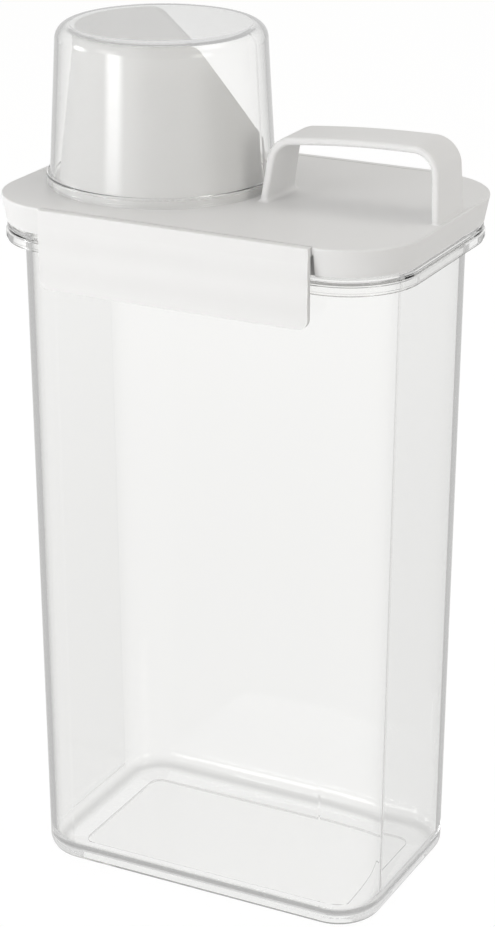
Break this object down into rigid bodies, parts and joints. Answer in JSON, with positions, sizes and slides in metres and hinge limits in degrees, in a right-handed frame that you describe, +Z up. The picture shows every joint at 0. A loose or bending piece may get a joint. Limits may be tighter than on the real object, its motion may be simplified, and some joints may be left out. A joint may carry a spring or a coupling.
{
  "type": "laundry detergent container",
  "caption": "Tall clear lidded container for detergent, with a pour spout under a clear measuring cup, an arch handle and two snap latches.",
  "frame": {"origin": "centre of the overall box, at its lowest level, which is the foot of the container", "axes": "+Z up; +X along the lid from the cup to the handle; -Y towards the front latch"},
  "size_m": [0.1498, 0.1052, 0.298],
  "materials": {
    "clear_plastic": "clear, smooth",
    "white_plastic": "satin moulded",
    "silicone": "soft, translucent white"
  },
  "bodies": {
    "container": {"container": "clear_plastic"},
    "lid": {"lid": "white_plastic", "lid_gasket": "silicone", "pour_spout": "white_plastic", "spout_seal": "silicone"},
    "front_latch": {"front_latch": "white_plastic"},
    "back_latch": {"back_latch": "white_plastic"},
    "cup": {"measuring_cup": "clear_plastic"}
  },
  "joints": [
    {"name": "lid_lift", "type": "slide", "parent": "container", "child": "lid", "axis": [0, 0, 1], "range_m": [0, 0.02]},
    {"name": "cup_lift", "type": "slide", "parent": "lid", "child": "cup", "axis": [0, 0, 1], "range_m": [0, 0.06]},
    {"name": "front_latch_hinge", "type": "hinge", "parent": "lid", "child": "front_latch", "pos_m": [0, -0.0509, 0.2435], "axis": [-1, 0, 0], "range_deg": [0, 120]},
    {"name": "back_latch_hinge", "type": "hinge", "parent": "lid", "child": "back_latch", "pos_m": [0, 0.0509, 0.2435], "axis": [1, 0, 0], "range_deg": [0, 120]}
  ],
  "couplings": [
    {"joint": "front_latch_hinge", "follows": "lid_lift", "rad_per_m": 104.7},
    {"joint": "back_latch_hinge", "follows": "lid_lift", "rad_per_m": 104.7}
  ]
}
